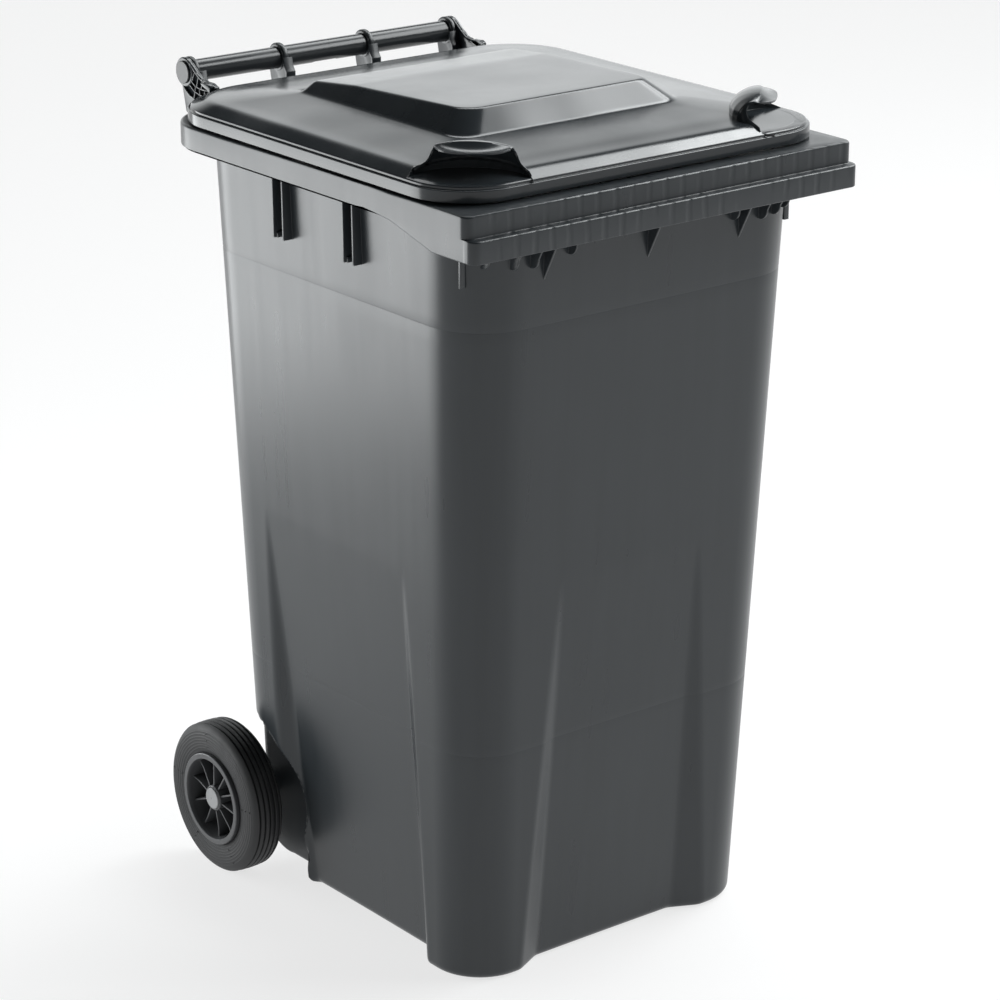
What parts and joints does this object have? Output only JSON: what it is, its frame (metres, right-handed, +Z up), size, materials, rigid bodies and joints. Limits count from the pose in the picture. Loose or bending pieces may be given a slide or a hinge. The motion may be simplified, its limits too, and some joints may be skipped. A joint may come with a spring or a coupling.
{
  "type": "wheelie bin",
  "caption": "Two-wheeled plastic refuse bin with a tapering container, comb lip, rear handle tube, hinged lid with corner grips, and free-spinning spoked wheels with rubber tyres.",
  "frame": {"origin": "on the ground, under the middle of the closed bin's bounding box", "axes": "+Z up, -Y towards the front with the comb lip, +X to the right of someone facing the front"},
  "size_m": [0.58, 0.709, 1.055],
  "materials": {
    "container_plastic": "fine moulded grain, semi-matt polyethylene",
    "lid_plastic": "fine moulded grain, semi-matt polyethylene",
    "tube_plastic": "smooth extruded tube, light sheen",
    "pin_plastic": "smooth",
    "axle_steel": "zinc-plated, turned",
    "bearing_plastic": "smooth",
    "wheel_plastic": "smooth injection-moulded",
    "tyre": "solid rubber, fine concentric lines",
    "cap_plastic": "smooth",
    "spring_steel": "bright wire"
  },
  "bodies": {
    "bin": {"body": "container_plastic", "handle_tube": "tube_plastic", "hinge_pin_left": "pin_plastic", "hinge_pin_right": "pin_plastic", "axle": "axle_steel", "axle_spacer_left": "bearing_plastic", "axle_spacer_right": "bearing_plastic"},
    "lid": {"lid": "lid_plastic"},
    "wheel_left": {"wheel_rim_left": "wheel_plastic", "tyre_left": "tyre", "hub_cap_left": "cap_plastic", "axle_bush_left": "bearing_plastic", "lock_pin_left": "axle_steel", "lock_spring_left": "spring_steel"},
    "wheel_right": {"wheel_rim_right": "wheel_plastic", "tyre_right": "tyre", "hub_cap_right": "cap_plastic", "axle_bush_right": "bearing_plastic", "lock_pin_right": "axle_steel", "lock_spring_right": "spring_steel"}
  },
  "joints": [
    {"name": "lid_hinge", "type": "hinge", "parent": "bin", "child": "lid", "pos_m": [0, 0.336, 1.025], "axis": [-1, 0, 0], "range_deg": [0, 270]},
    {"name": "wheel_left_spin", "type": "hinge", "parent": "bin", "child": "wheel_left", "pos_m": [0, 0.2135, 0.1], "axis": [1, 0, 0], "continuous": true},
    {"name": "wheel_right_spin", "type": "hinge", "parent": "bin", "child": "wheel_right", "pos_m": [0, 0.2135, 0.1], "axis": [1, 0, 0], "continuous": true}
  ]
}
